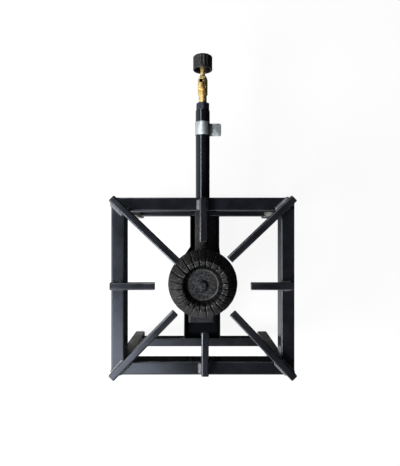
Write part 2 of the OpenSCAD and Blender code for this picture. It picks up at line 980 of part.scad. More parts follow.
frame_front_bar();
frame_back_bar();
frame_left_bar();
frame_right_bar();
leg(-1, -1);  // leg_front_left
leg(1, -1);  // leg_front_right
leg(-1, 1);  // leg_back_left
leg(1, 1);  // leg_back_right
lower_rail(-1);  // lower_rail_front
lower_rail(1);  // lower_rail_back
corner_bar(0, -1, 1);  // pot_bar_back_left
corner_bar(1, 1, 1);  // pot_bar_back_right
corner_bar(2, -1, -1);  // pot_bar_front_left
corner_bar(3, 1, -1);  // pot_bar_front_right
pot_bar_left();
pot_bar_right();
pot_bar_front();
pot_bar_back();
burner_carrier();
burner_seat();
burner_bowl();
burner_cap();
burner_bolt();
burner_washer();
mixing_tube();
air_shutter();
valve_adapter();
gas_jet();
valve_body();
hose_tail();
gland_packing();
gland_nut();
valve_spindle();
valve_knob();
knob_screw();
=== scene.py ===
# %% [markdown]
# # A floor gas stove, dressed for rendering
#
# The stove is a welded frame of steel tube with eight solid pot bars on top. A cast iron burner sits in
# the middle, and a long tube feeds it from a brass needle valve at the back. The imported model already
# holds every piece at its real size, so this file only gives each piece its surface: paint, bare brass,
# zinc, cast iron, weld beads and softened edges. Lengths are in metres, apart from the camera's sensor
# and the sizes of the beads on the pot bars, which are in millimetres.

# %% Load the frame
import bpy
import bmesh
import json
from math import atan2, cos, pi, radians, sin
from mathutils import Matrix, Vector


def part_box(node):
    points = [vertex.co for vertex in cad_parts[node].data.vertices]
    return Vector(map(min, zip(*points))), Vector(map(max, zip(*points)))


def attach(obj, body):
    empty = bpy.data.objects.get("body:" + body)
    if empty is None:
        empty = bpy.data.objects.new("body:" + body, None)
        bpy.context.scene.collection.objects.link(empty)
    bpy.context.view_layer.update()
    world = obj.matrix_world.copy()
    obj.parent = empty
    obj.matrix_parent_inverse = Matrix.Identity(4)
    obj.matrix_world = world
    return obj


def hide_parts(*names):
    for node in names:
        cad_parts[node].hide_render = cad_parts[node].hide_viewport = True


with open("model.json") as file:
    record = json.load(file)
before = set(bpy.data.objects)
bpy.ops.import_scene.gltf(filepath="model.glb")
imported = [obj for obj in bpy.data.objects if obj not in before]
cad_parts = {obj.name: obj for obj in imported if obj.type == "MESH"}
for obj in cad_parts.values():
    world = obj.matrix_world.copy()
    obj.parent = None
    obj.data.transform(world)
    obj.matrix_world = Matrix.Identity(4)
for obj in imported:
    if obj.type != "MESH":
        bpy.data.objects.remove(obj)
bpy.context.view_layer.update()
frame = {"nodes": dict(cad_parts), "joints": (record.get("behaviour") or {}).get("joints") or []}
nodes = frame["nodes"]
joints = {joint["name"]: joint for joint in frame["joints"]}
MM = 0.001

# %% [markdown]
# ## The camera
#
# The photograph looks straight down on the stove from a little over half a metre above the top frame.
# That short distance makes the lower parts look smaller than the upper ones. A camera that hangs at the
# same height with the same field of view shows the same shrinking. The point right under the camera lies
# a little below the middle of the picture, and lens shift moves it there without tilting the camera.

# %% Place the camera
PHOTO_W, PHOTO_H = 400, 466
SENSOR = 36.0
PIXELS_PER_RADIAN = 352.5
NADIR_PIXEL = (202, 240)
EYE = Vector((-0.0013, -0.05099, 0.763))

camera_data = bpy.data.cameras.new("camera")
camera_data.sensor_width = SENSOR
camera_data.lens = SENSOR * PIXELS_PER_RADIAN / PHOTO_H
camera_data.shift_x = (PHOTO_W / 2 - NADIR_PIXEL[0]) / PHOTO_H
camera_data.shift_y = (NADIR_PIXEL[1] - PHOTO_H / 2) / PHOTO_H
camera_data.clip_start = 0.01
camera = bpy.data.objects.new("camera", camera_data)
camera.location = EYE
bpy.context.scene.collection.objects.link(camera)
bpy.context.scene.camera = camera
print("lens", round(camera_data.lens, 2), "mm")

# %% [markdown]
# ## Light
#
# Black enamel shows almost nothing but what it mirrors, so the light is mostly a matter of where the
# bright panels stand. Everything matt is lit by one low window at the front left, which leaves the right
# of the burner in the dark, and no mirror shows that window. The other panels are the other way round:
# mirrors show them, and matt surfaces don't see them, so that the shadows stay deep. A long narrow one
# draws the light line along the gas tube. A large one at the front left lays the sheen on the left and
# front tubes, and a small one at the back left does the same for the back tube.

# %% Hang the soft panels
STOVE_MIDDLE = Vector((0, -0.1, 0.15))


def soft_panel(name, place, width, height, watts, matt=True, mirrored=True):
    """A rectangular soft light that faces the stove. It can be hidden from matt surfaces or mirrors."""
    light = bpy.data.lights.new(name, "AREA")
    light.shape = "RECTANGLE"
    light.size = width
    light.size_y = height
    light.energy = watts
    lamp = bpy.data.objects.new(name, light)
    lamp.location = place
    lamp.rotation_euler = (STOVE_MIDDLE - lamp.location).to_track_quat("-Z", "Y").to_euler()
    lamp.visible_diffuse = matt
    lamp.visible_glossy = mirrored
    bpy.context.scene.collection.objects.link(lamp)
    return lamp


panels = [
    soft_panel("window_panel", Vector((-1.05, -0.65, 1.0)), 0.9, 0.5, 27, mirrored=False),
    soft_panel("line_panel", Vector((-0.66, -0.1, 1.2)), 1.4, 0.28, 12, matt=False),
    soft_panel("sheen_panel", Vector((-1.09, -1.03, 1.9)), 1.5, 1.5, 31, matt=False),
    soft_panel("back_panel", Vector((-0.5, 1.2, 1.2)), 0.4, 0.4, 5, matt=False),
]
print([(lamp.name, lamp.data.energy) for lamp in panels])

# %% [markdown]
# ## Writing materials as sums
#
# A procedural material is a formula: so much rust where the noise is high, so much dust where a face
# points up. Node graphs hide that formula in dozens of boxes and wires. The small class below wraps one
# output socket, so that `wear * 0.3 + grain` builds the Math nodes for it.


# %% A class for shader values
class Value:
    """A number, colour or direction that varies over a surface: one output socket."""

    def __init__(self, finish, socket):
        self.finish = finish
        self.socket = socket

    def math(self, operation, *inputs):
        return self.finish.add("ShaderNodeMath", {"operation": operation}, dict(enumerate(inputs)))

    def __add__(self, other):
        return self.math("ADD", self, other)

    def __sub__(self, other):
        return self.math("SUBTRACT", self, other)

    def __rsub__(self, other):
        return self.math("SUBTRACT", other, self)

    def __mul__(self, other):
        return self.math("MULTIPLY", self, other)

    __radd__ = __add__
    __rmul__ = __mul__

    def at_most(self, other):
        return self.math("MINIMUM", self, other)

    def at_least(self, other):
        return self.math("MAXIMUM", self, other)

    def rise(self, low, high):
        """0 below low, 1 above high, and a smooth step between them. With high under low it falls."""
        settings = {"interpolation_type": "SMOOTHSTEP"}
        return self.finish.add("ShaderNodeMapRange", settings, {"Value": self, 1: low, 2: high})


print("values can be added and multiplied")

# %% [markdown]
# ## A finish and its patterns
#
# All other nodes come from one method, `add`, which takes the node's type, then its settings, then what
# goes into its sockets. On top of it stand the patterns that most finishes start from: noise, height
# above the floor, the way a face points, and how near a point lies to an edge or an axis. Colours go
# through Mix and places through Vector Math, because a Math node would turn them into one number.


# %% A class for finishes
class Finish:
    """A material that is being built. Patterns lie in the stove's own frame."""

    def __init__(self, name, **constants):
        self.material = bpy.data.materials.new(name)
        self.material.use_nodes = True
        self.tree = self.material.node_tree
        self.shader = self.tree.nodes["Principled BSDF"]
        for socket, value in constants.items():
            self.shader.inputs[socket.replace("_", " ")].default_value = value
        self.place = self.add("ShaderNodeTexCoord", {}, {}, "Object")

    def add(self, kind, settings, sockets, output=0):
        """Adds a node: its type, its settings, then a value or a link for each of its sockets."""
        node = self.tree.nodes.new(kind)
        for name, value in settings.items():
            setattr(node, name, value)
        for key, value in sockets.items():
            self.feed(node.inputs[key], value)
        return Value(self, node.outputs[output])

    def feed(self, socket, value):
        if isinstance(value, Value):
            self.tree.links.new(value.socket, socket)
        else:
            socket.default_value = value

    def set(self, **values):
        """Links what varies over the surface to the shader's own sockets."""
        for name, value in values.items():
            self.feed(self.shader.inputs[name.replace("_", " ")], value)

    def vector(self, operation, *inputs, output=0):
        """One step of arithmetic on places or directions. The output Value is a number."""
        settings = {"operation": operation}
        return self.add("ShaderNodeVectorMath", settings, dict(enumerate(inputs)), output)

    def noise(self, size, detail=3, roughness=0.55, stretch=(1, 1, 1), seed=0.0):
        """Noise from 0 to 1 in blotches about size metres wide, wider where stretch is above 1."""
        moved = self.vector("ADD", self.place, (seed, seed, seed))
        fitted = self.vector("MULTIPLY", moved, [1 / share for share in stretch])
        sockets = {"Vector": fitted, "Scale": 1 / size, "Detail": detail, "Roughness": roughness}
        return self.add("ShaderNodeTexNoise", {}, sockets)

    def cells(self, size):
        """Distance to the nearest of a scatter of points about size metres apart."""
        return self.add("ShaderNodeTexVoronoi", {}, {"Vector": self.place, "Scale": 1 / size})

    def mix(self, share, first, second):
        """Goes from the first colour to the second one as share goes from 0 to 1."""
        settings = {"data_type": "RGBA"}
        return self.add("ShaderNodeMix", settings, {0: share, 6: first, 7: second}, 2)

    def blend(self, share, first, second):
        """Goes from the first shader to the second one as share goes from 0 to 1."""
        mixed = self.add("ShaderNodeMixShader", {}, {0: share}).socket
        self.tree.links.new(first, mixed.node.inputs[1])
        self.tree.links.new(second, mixed.node.inputs[2])
        return mixed

    def facing(self, axis):
        """How far the surface points along X, Y or Z, from -1 to 1."""
        normal = self.add("ShaderNodeNewGeometry", {}, {}, "Normal")
        return self.add("ShaderNodeSeparateXYZ", {}, {0: normal}, axis)

    def height(self, axis):
        """Where a point lies along X, Y or Z, in metres."""
        return self.add("ShaderNodeSeparateXYZ", {}, {0: self.place}, axis)

    def from_axis(self, foot):
        """How far a point lies from the upright line through a point on the floor, in metres."""
        flat = self.vector("MULTIPLY", self.place, (1, 1, 0))
        return self.vector("DISTANCE", flat, foot, output="Value")

    def from_line(self, point, axis):
        """How far a point lies from the line through a point along a unit axis, in metres."""
        moved = self.vector("SUBTRACT", self.place, point)
        crossed = self.vector("CROSS_PRODUCT", moved, axis)
        return self.vector("LENGTH", crossed, output="Value")

    def edges(self, radius):
        """1 on sharp edges and 0 on flat faces, from how far a rounded normal differs."""
        rounded = self.add("ShaderNodeBevel", {"samples": 4}, {"Radius": radius})
        normal = self.add("ShaderNodeNewGeometry", {}, {}, "Normal")
        return self.vector("DOT_PRODUCT", rounded, normal, output="Value").rise(0.97, 0.8)

    def ridges(self, start, full):
        """1 on the ridges of a dense mesh and 0 on its flats and hollows."""
        return self.add("ShaderNodeNewGeometry", {}, {}, "Pointiness").rise(start, full)

    def bump(self, relief, depth, strength=1.0, under=None):
        """Turns relief from 0 to 1 into a normal, as if it were depth metres deep."""
        sockets = {"Height": relief, "Distance": depth, "Strength": strength}
        if under is not None:
            sockets["Normal"] = under
        return self.add("ShaderNodeBump", {}, sockets)


def rgb(red, green, blue):
    """A colour from linear values, with full opacity."""
    return (red, green, blue, 1.0)


def shade(tone, factor):
    """A colour from a tone made lighter or darker."""
    return rgb(*(min(part * factor, 1.0) for part in tone))


print("patterns and colours ready")

# %% [markdown]
# ## The floor
#
# The photograph's background is pure white, and the stove's shadow on it is hardly visible. If more
# light made the floor white, the stove would be overlit too. Instead the floor glows for the camera
# alone, and a white paper that shows through the glow takes the shadow. Light that bounces off the floor
# meets a darker grey, so the shaded sides stay dark. What the enamel mirrors is set apart from both: the
# floor is clear to mirrored rays, and they go on to the world behind it.

# %% Lay the floor
FLOOR_SIZE = 14.0
FLOOR_LEVEL = -0.2 * MM
FLOOR_GLOW = 0.80
GLOW_STRENGTH = 1.15


def light_path(finish, ray):
    return finish.add("ShaderNodeLightPath", {}, {}, ray)


def mirrored_ray(finish):
    """1 for a ray that comes from a glossy or a clear surface."""
    return light_path(finish, "Is Glossy Ray").at_least(light_path(finish, "Is Transmission Ray"))


floor_finish = Finish("floor_paper", Roughness=0.9)
seen = light_path(floor_finish, "Is Camera Ray")
paper_grain = floor_finish.noise(20 * MM)
paper = floor_finish.mix(paper_grain, rgb(0.82, 0.82, 0.82), rgb(0.88, 0.88, 0.88))
floor_finish.set(Base_Color=floor_finish.mix(seen, rgb(0.5, 0.5, 0.5), paper))
plain_white = floor_finish.add("ShaderNodeEmission", {}, {"Strength": GLOW_STRENGTH})
see_through = floor_finish.add("ShaderNodeBsdfTransparent", {}, {})
glowing = floor_finish.blend(seen * FLOOR_GLOW, floor_finish.shader.outputs[0], plain_white.socket)
floor_shown = floor_finish.blend(mirrored_ray(floor_finish), glowing, see_through.socket)
floor_output = floor_finish.tree.nodes["Material Output"]
floor_finish.tree.links.new(floor_shown, floor_output.inputs["Surface"])

bpy.ops.object.select_all(action="DESELECT")
bpy.ops.mesh.primitive_plane_add(size=FLOOR_SIZE, location=(0, 0, FLOOR_LEVEL))
floor = bpy.context.object
floor.name = "floor"
floor.data.materials.append(floor_finish.material)
print("floor", FLOOR_SIZE, "m wide")

# %% [markdown]
# ## The surroundings
#
# The sides and round edges of the tubes mirror whatever stands low around the stove. What they mirror in
# the photograph suggests a white wall at the front left and a dark room elsewhere, so the world gets
# both, and a faint cold ceiling above. The camera sees plain white wherever the floor ends. A world has
# the same nodes as a material, and its place is the direction that is looked along, so the class for
# finishes serves here.

# %% Set the world
CEILING_LIGHT = 0.05
DARK_WALL_LIGHT = 0.02
PAPER_WALL_LIGHT = 1.0
COLD_WHITE = rgb(0.86, 0.93, 1.0)

world = bpy.data.worlds.new("studio")
world.use_nodes = True
bpy.context.scene.world = world


class Sky(Finish):
    """The same tools on the world's nodes."""

    def __init__(self, made):
        self.tree = made.node_tree
        self.place = self.add("ShaderNodeTexCoord", {}, {}, "Generated")

    def wall(self, colour, strength):
        return self.add("ShaderNodeBackground", {}, {"Color": colour, "Strength": strength}).socket


sky = Sky(world)
elevation = sky.height("Z")
front_left = sky.height("X") * -0.8 - sky.height("Y") * 0.6
low_sky = elevation.rise(0.75, 0.4)
below = elevation.rise(-0.3, -0.7)
lit_side = low_sky * front_left.rise(0.1, 0.4) * (0.95 - below * 0.15)
ceiling = sky.wall(COLD_WHITE, CEILING_LIGHT)
dark_wall = sky.wall(COLD_WHITE, DARK_WALL_LIGHT)
paper_wall = sky.wall(rgb(1, 1, 1), PAPER_WALL_LIGHT)
studio = sky.blend(mirrored_ray(sky) * low_sky, ceiling, dark_wall)
paper_share = light_path(sky, "Is Camera Ray") + mirrored_ray(sky) * lit_side
sky_shown = sky.blend(paper_share, studio, paper_wall)
sky.tree.links.new(sky_shown, sky.tree.nodes["World Output"].inputs["Surface"])
bpy.context.scene.view_settings.view_transform = "Standard"
print("ceiling strength", CEILING_LIGHT, "and dark wall", DARK_WALL_LIGHT)

# %% [markdown]
# ## Black enamel
#
# The frame is sprayed with a glossy black enamel after welding. Up close such paint isn't one colour.
# It has orange peel, the fine dimples that spray leaves, a little dust on upward faces, and thin rubbed
# edges where steel grins through. Pans polish the round edges, most of all near the flame, and the legs
# carry a brown-grey dust from the ground, thickest at their feet. The bluish tint belongs mostly to the
# sheen, so it goes into the specular tint, and the base colours are only slightly blue. One recipe
# serves every painted piece.

# %% Write the recipe for enamel
cap_low, cap_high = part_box("burner_cap")
BURNER_MIDDLE = ((cap_low.x + cap_high.x) / 2, (cap_low.y + cap_high.y) / 2, 0)
FLAME_FAR = 130 * MM
FLAME_NEAR = 75 * MM
GROUND_DUST_TOP = 170 * MM
GROUND_DUST_FULL = 60 * MM
BLUE_SHEEN = rgb(0.74, 0.82, 1.0)
BARE_STEEL = rgb(0.30, 0.31, 0.33)
PALE_DUST = rgb(0.16, 0.155, 0.15)
GROUND_DUST = rgb(0.64, 0.61, 0.57)
PEEL_SHARE = 0.2
DULLEST = 0.8


def enamel(name, base, gloss, dust_amount, wear_amount, ripple=0.12 * MM, specular=0.5,
           shine=0.0, flame_shine=0.0, ground_dust=0.0):
    """Sprayed black paint with dust on upward faces, rubbed edges and ripples of a given depth."""
    paint = Finish(name, Specular_IOR_Level=specular, Specular_Tint=BLUE_SHEEN)
    blotch = paint.noise(35 * MM, detail=4, seed=3.1)
    speck = paint.noise(1.6 * MM, detail=2, seed=7.7)
    peel = paint.noise(2.2 * MM, detail=2, seed=1.3)
    long_wave = paint.noise(12 * MM, detail=2, seed=5.0)
    upward = paint.facing("Z")
    dust = upward.rise(0.6, 0.95) * blotch.rise(0.4, 0.75) * speck.rise(0.45, 0.7) * dust_amount
    chips = paint.noise(6 * MM, detail=4, seed=9.2).rise(0.5, 0.72)
    chipped = paint.edges(0.9 * MM) * chips * wear_amount
    rounding = upward.rise(0.995, 0.90) * upward.rise(0.02, 0.15)
    near_flame = paint.from_axis(BURNER_MIDDLE).rise(FLAME_FAR, FLAME_NEAR)
    polished = rounding * speck.rise(0.2, 0.5) * (near_flame * flame_shine + shine)
    rub = chipped.at_least(polished)
    low_down = paint.height("Z").rise(GROUND_DUST_TOP, GROUND_DUST_FULL)
    ground = low_down * (blotch.rise(0.3, 0.7) * 0.45 + 0.55) * ground_dust
    coat = paint.mix(blotch.rise(0.3, 0.7), shade(base, 0.7), shade(base, 1.25))
    dusted = paint.mix(ground, paint.mix(dust, coat, PALE_DUST), GROUND_DUST)
    paint.set(Base_Color=paint.mix(rub, dusted, BARE_STEEL))
    paint.set(Roughness=(gloss + blotch * 0.08 + dust * 0.35 + rub * 0.15).at_most(DULLEST))
    paint.set(Metallic=rub)
    waves = paint.bump(long_wave, ripple, 0.4)
    paint.set(Normal=paint.bump(peel, PEEL_SHARE * ripple, 0.5, under=waves))
    return paint.material


print("burner's middle", [round(part, 4) for part in BURNER_MIDDLE])

# %% [markdown]
# ## Painting the tubes
#
# The imported tubes already have their shape, so they only get paint. It differs from piece to piece. The
# top tubes and the mixing tube are the glossiest, and the legs and rails are duller, because nobody
# wipes them. The carrier under the burner is painted matt and nearly black, as painted shade for the
# shadow that fills its channel, and the bent seat in it is painted lighter grey, as painted light on its
# lit top. The adapter's lighter, bluer paint is a painted sheen. Each mix is handed to its pieces
# through their own material slots.

# %% Paint the tubes
TOP_TUBES = ["frame_front_bar", "frame_back_bar", "frame_left_bar", "frame_right_bar"]
LEGS = [f"leg_{end}_{side}" for end in ("front", "back") for side in ("left", "right")]
RAILS = ["lower_rail_front", "lower_rail_back"]
TOP_TONE = (0.0150, 0.0158, 0.0205)
LINE_TONE = (0.0085, 0.0092, 0.0115)
ADAPTER_SHEEN_TONE = (0.035, 0.038, 0.055)
LOW_TONE = (0.012, 0.0122, 0.0135)
CARRIER_SHADE_TONE = (0.0016, 0.0017, 0.0024)
SEAT_LIT_TONE = (0.11, 0.112, 0.118)


def repaint(names, material):
    """Gives CAD nodes a finish through their own material slots."""
    for name in names:
        slots = nodes[name].material_slots
        for slot in slots:
            slot.material = material
        if not slots:
            nodes[name].data.materials.append(material)
    print(material.name, "on", ", ".join(names))


repaint(TOP_TUBES, enamel("black_enamel", TOP_TONE, 0.14, 0.05, 0.15, shine=0.3))
repaint(["mixing_tube"], enamel("line_enamel", LINE_TONE, 0.14, 0.05, 0.15))
# The adapter's lighter, bluer paint is a painted sheen, for the light its flat facets mirror.
repaint(["valve_adapter"], enamel("adapter_enamel", ADAPTER_SHEEN_TONE, 0.16, 0.0, 0.3))
repaint(LEGS, enamel("black_enamel_low", LOW_TONE, 0.26, 0.15, 0.15, shine=0.2, ground_dust=0.9))
repaint(RAILS, enamel("rail_enamel", LOW_TONE, 0.26, 0.15, 0.15, shine=0.2))
# The carrier's near-black paint is painted shade, for the shadow that fills its channel.
repaint(["burner_carrier"], enamel("carrier_enamel", CARRIER_SHADE_TONE, 0.45, 0.0, 0.7, specular=0.1))
# The seat's lighter grey paint is painted light, for the lit top of the seat.
repaint(["burner_seat"], enamel("seat_enamel", SEAT_LIT_TONE, 0.24, 0.3, 0.2))

# %% [markdown]
# ## Modelling by hand, in code
#
# Apart from the castings, every new piece starts as a primitive that is pulled, inset and bevelled in
# edit mode, as one would do it with a mouse. A few helpers take the mouse's place. One picks what to
# work on by its place or its direction, one applies a modifier, and one settles the finished piece on
# the stove: its place goes into its mesh, and it rides on the body that carries it.


# %% Modelling helpers
def only(piece):
    """Makes one piece the only selected and the active one."""
    bpy.ops.object.select_all(action="DESELECT")
    piece.select_set(True)
    bpy.context.view_layer.objects.active = piece


def pick(piece, kind, test):
    """In edit mode, selects the verts, edges or faces that pass the test, and nothing else."""
    bpy.ops.mesh.select_mode(type={"verts": "VERT", "edges": "EDGE", "faces": "FACE"}[kind])
    bpy.ops.mesh.select_all(action="DESELECT")
    shape = bmesh.from_edit_mesh(piece.data)
    found = [part for part in getattr(shape, kind) if test(part)]
    for part in found:
        part.select_set(True)
    bmesh.update_edit_mesh(piece.data)
    return len(found)


def modify(piece, kind, **settings):
    """Adds a modifier and applies it."""
    only(piece)
    modifier = piece.modifiers.new(kind.lower(), kind)
    for name, value in settings.items():
        setattr(modifier, name, value)
    bpy.ops.object.modifier_apply(modifier=modifier.name)


def settle(piece, name, body, material, place=None, replaced=(), angle=35):
    """Leaves a finished piece at the origin with its place in its mesh, and hands it to its body."""
    if place is not None:
        piece.matrix_world = place
    only(piece)
    bpy.ops.object.transform_apply(location=True, rotation=True, scale=True)
    if angle is not None:
        bpy.ops.object.shade_smooth_by_angle(angle=radians(angle))
    piece.name = name
    piece.data.materials.clear()
    piece.data.materials.append(material)
    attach(piece, body)
    if replaced:
        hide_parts(*replaced)
    return piece


def mean(points):
    """The middle of some points."""
    return sum(points, Vector()) / len(points)


print("modelling helpers ready")

# %% [markdown]
# ## The pot bars
#
# Eight lengths of solid square bar lie on the frame and carry the pan. Rolled bar has round edges all
# along, and the saw leaves flat ends whose burr is filed off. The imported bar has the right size, so its
# own corners say where the new one goes. First come the bar's two ends, as points, and a test that finds
# the edges to round.

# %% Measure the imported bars
POT_BARS = [name for name in nodes if name.startswith("pot_bar_")]


def bar_ends(name):
    """The middles of a bar's two ends, the outer one first."""
    corners = {tuple(round(c, 6) for c in vertex.co) for vertex in nodes[name].data.vertices}
    points = [Vector(corner) for corner in corners]
    centre = mean(points)
    far = max(points, key=lambda point: (point - centre).length) - centre
    halves = [[p for p in points if (p - centre).dot(far) * sign > 0] for sign in (-1, 1)]
    return sorted(map(mean, halves), key=lambda end: -(end - STOVE_MIDDLE).xy.length)


def runs_along_x(edge):
    """Whether an edge runs along X."""
    run = edge.verts[1].co - edge.verts[0].co
    return abs(run.x) > 0.999 * run.length


for name in POT_BARS:
    heel, tip = bar_ends(name)
    print(name, round((tip - heel).length / MM, 1), "mm long")

# %% [markdown]
# ## Modelling the pot bars
#
# A cube is stretched to the bar's length, its long edges are bevelled round, and its ends get a narrow
# chamfer. Weighted normals then keep the wide faces flat in the light and leave the turn to the round
# edges. The bars' enamel has deeper ripples than the tubes', because rolled bar is never quite flat, and
# pans have polished its edges near the flame.

# %% Model the pot bars
BAR_TONE = (0.0180, 0.0190, 0.0240)
BAR_RIPPLE = 0.3 * MM
BAR_ROUND = 2.6 * MM
SAW_CHAMFER = 0.35 * MM
bar_enamel = enamel("pot_bar_enamel", BAR_TONE, 0.14, 0.05, 0.3, BAR_RIPPLE, shine=0.15, flame_shine=0.6)


def pot_bar(name):
    """Square bar with rolled edges and sawn ends, from its heel on the frame to its tip."""
    heel, tip = bar_ends(name)
    low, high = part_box(name)
    side = high.z - low.z
    length = (tip - heel).length
    bpy.ops.mesh.primitive_cube_add(size=side)
    piece = bpy.context.object
    bpy.ops.object.mode_set(mode="EDIT")
    pick(piece, "faces", lambda face: face.normal.x > 0.9)
    bpy.ops.transform.translate(value=(length - side, 0, 0))
    pick(piece, "edges", runs_along_x)
    bpy.ops.mesh.bevel(offset=BAR_ROUND, segments=6, affect="EDGES")
    ends = (-side / 2, length - side / 2)
    pick(piece, "edges", lambda edge: any(all(abs(v.co.x - x) < 1e-6 for v in edge.verts) for x in ends))
    bpy.ops.mesh.bevel(offset=SAW_CHAMFER, segments=1, affect="EDGES")
    bpy.ops.object.mode_set(mode="OBJECT")
    bpy.ops.object.shade_smooth_by_angle(angle=radians(35))
    modify(piece, "WEIGHTED_NORMAL", keep_sharp=True, weight=100)
    turn = (tip - heel).to_track_quat("X", "Z").to_matrix().to_4x4()
    place = Matrix.Translation(heel) @ turn @ Matrix.Translation((side / 2, 0, 0))
    title = name + "_dressed"
    return settle(piece, title, "stove", bar_enamel, place, [name], angle=None)


bars = [pot_bar(name) for name in POT_BARS]
print(len(bars), "pot bars")

# %% [markdown]
# ## Weld beads
#
# A stick electrode leaves a bead of overlapping puddles, wider in the middle than at its ends. One bead
# is modelled as a small disc that is extruded step by step, swelling and shrinking as it goes, and then
# smoothed by subdivision. It is about one metre long and two wide, so a copy's scale is its length and
# half its width and height.

# %% Model one bead
BEAD_SIDES = 8
BEAD_RINGS = 27
RINGS_PER_RIPPLE = 3


def bead_width(ring):
    """Radius of the bead at one ring: tapered ends, and a saw-tooth for each puddle."""
    along = ring / BEAD_RINGS
    taper = min(1.0, 0.45 + 7 * along, 0.45 + 7 * (1 - along))
    puddle = 1.0 - 0.11 * (ring % RINGS_PER_RIPPLE)
    return taper * puddle * (1 + 0.10 * sin(2.1 * ring))


bpy.ops.object.select_all(action="DESELECT")
bpy.ops.mesh.primitive_circle_add(
    vertices=BEAD_SIDES, radius=bead_width(0), fill_type="NGON", rotation=(0, pi / 2, 0)
)
bead = bpy.context.object
bpy.ops.object.transform_apply(rotation=True)
bpy.ops.object.mode_set(mode="EDIT")
bpy.ops.mesh.select_all(action="SELECT")
for ring in range(1, BEAD_RINGS + 1):
    growth = bead_width(ring) / bead_width(ring - 1)
    aside = 0.05 * sin(1.7 * ring)
    bpy.ops.mesh.extrude_region_move(TRANSFORM_OT_translate={"value": (1 / BEAD_RINGS, aside, aside)})
    bpy.ops.transform.resize(value=(1, growth, growth))
bpy.ops.mesh.select_all(action="SELECT")
bpy.ops.mesh.normals_make_consistent(inside=False)
bpy.ops.object.mode_set(mode="OBJECT")
modify(bead, "SUBSURF", levels=1, render_levels=1)
print("bead of", len(bead.data.polygons), "faces")

# %% [markdown]
# ## Laying the beads
#
# Each welded seam gets its own stretched copy of the bead, half sunk into the corner between the two
# pieces that it joins, and the copies of one area are joined into one piece. A weld is rougher than the
# bars, so its paint is more rippled, and it is painted greyer, partly as its own rough paint and partly
# as a painted sheen that its bumps catch.

# %% Helpers that lay beads
# The welds' grey is partly their own rough paint and partly a painted sheen that their bumps catch.
WELD_TONE_AND_SHEEN = (0.19, 0.19, 0.195)
WELD_RIPPLE = 0.9 * MM
weld_enamel = enamel("weld_enamel", WELD_TONE_AND_SHEEN, 0.3, 0.1, 0.2, WELD_RIPPLE, shine=0.05)


def lay_bead(start, end, half_width, half_height):
    """Copies the bead along a seam, stretched to its length and to half its width and height."""
    run = Vector(end) - Vector(start)
    copy = bead.copy()
    copy.data = bead.data.copy()
    bpy.context.scene.collection.objects.link(copy)
    turn = run.to_track_quat("X", "Z").to_matrix().to_4x4()
    size = Matrix.Diagonal((run.length, half_width, half_height, 1))
    copy.matrix_world = Matrix.Translation(start) @ turn @ size
    return copy


def join_beads(name, beads):
    """Joins the beads of one area into one welded piece."""
    only(beads[0])
    for one in beads:
        one.select_set(True)
    bpy.ops.object.join()
    print(name, "holds", len(beads), "beads")
    return settle(bpy.context.object, name, "stove", weld_enamel, angle=60)


print("weld paint", weld_enamel.name)

# %% [markdown]
# ## Beads on the pot bars
#
# Each bar is welded on both sides where it crosses the top frame, by hand and unevenly. A bead's length
# is found by walking along the bar, a millimetre at a time, and keeping the points that lie over the
# frame's tubes. The sizes are half widths and half heights. The widths follow the photograph, where
# some beads are fat and others hardly show, and the heights are guessed to suit them.

# %% Weld the pot bars
SEAM_STEPS = 44
BEAD_SIZES = {
    "pot_bar_back_left": ((2.2, 2.0), (6.4, 4.0)),
    "pot_bar_back_right": ((2.0, 2.0), (5.2, 3.6)),
    "pot_bar_front_left": ((4.0, 2.0), (3.8, 2.8)),
    "pot_bar_front_right": ((4.0, 2.8), (2.8, 2.4)),
    "pot_bar_left": ((3.6, 3.0), (2.6, 2.4)),
    "pot_bar_right": ((3.0, 2.6), (2.6, 2.4)),
    "pot_bar_front": ((6.4, 3.6), (2.6, 2.4)),
    "pot_bar_back": ((2.6, 2.4), (6.6, 3.6)),
}
FRAME_LOW = Vector((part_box("frame_left_bar")[0].x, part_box("frame_front_bar")[0].y))
FRAME_HIGH = Vector((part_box("frame_right_bar")[1].x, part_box("frame_back_bar")[1].y))
HOLE_LOW = Vector((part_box("frame_left_bar")[1].x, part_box("frame_front_bar")[1].y))
HOLE_HIGH = Vector((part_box("frame_right_bar")[0].x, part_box("frame_back_bar")[0].y))


def within(point, low, high):
    """Whether a point lies inside a rectangle, seen from above."""
    return low.x < point.x < high.x and low.y < point.y < high.y


def over_frame(point):
    """Whether a point seen from above lies on the top frame's tubes."""
    return within(point, FRAME_LOW, FRAME_HIGH) and not within(point, HOLE_LOW, HOLE_HIGH)


def bar_beads(name, sizes):
    """The beads on both sides of a bar, where it crosses the frame. Sizes are halves, in millimetres."""
    heel, tip = bar_ends(name)
    low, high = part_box(name)
    along = (tip - heel).normalized()
    aside = along.cross(Vector((0, 0, 1)))
    half = (high.z - low.z) / 2
    beads = []
    for side, (half_width, half_height) in zip((-1, 1), sizes):
        corner = heel + aside * side * half + Vector((0, 0, low.z - heel.z))
        steps = [corner + along * step * MM for step in range(1, SEAM_STEPS + 1)]
        seam = [point for point in steps if over_frame(point)]
        beads.append(lay_bead(seam[0], seam[-2], half_width * MM, half_height * MM))
    return beads


top_beads = []
for name, bead_pair in BEAD_SIZES.items():
    top_beads.extend(bar_beads(name, bead_pair))
join_beads("weld_beads_pot_bars", top_beads)

# %% [markdown]
# ## Beads on the legs and rails
#
# A leg is welded all round its top, with the corners left out, because the electrode turns there. A rail
# meets a leg at each of its ends, and gets a bead above, one below and one down its outer side.

# %% Weld the legs and rails
SEAM_MARGIN = 0.08
LEG_BEAD = (2.2 * MM, 2.6 * MM)
RAIL_BEAD = (2.4 * MM, 2.2 * MM)
RAIL_SIDE_BEAD = (2.2 * MM, 2.4 * MM)

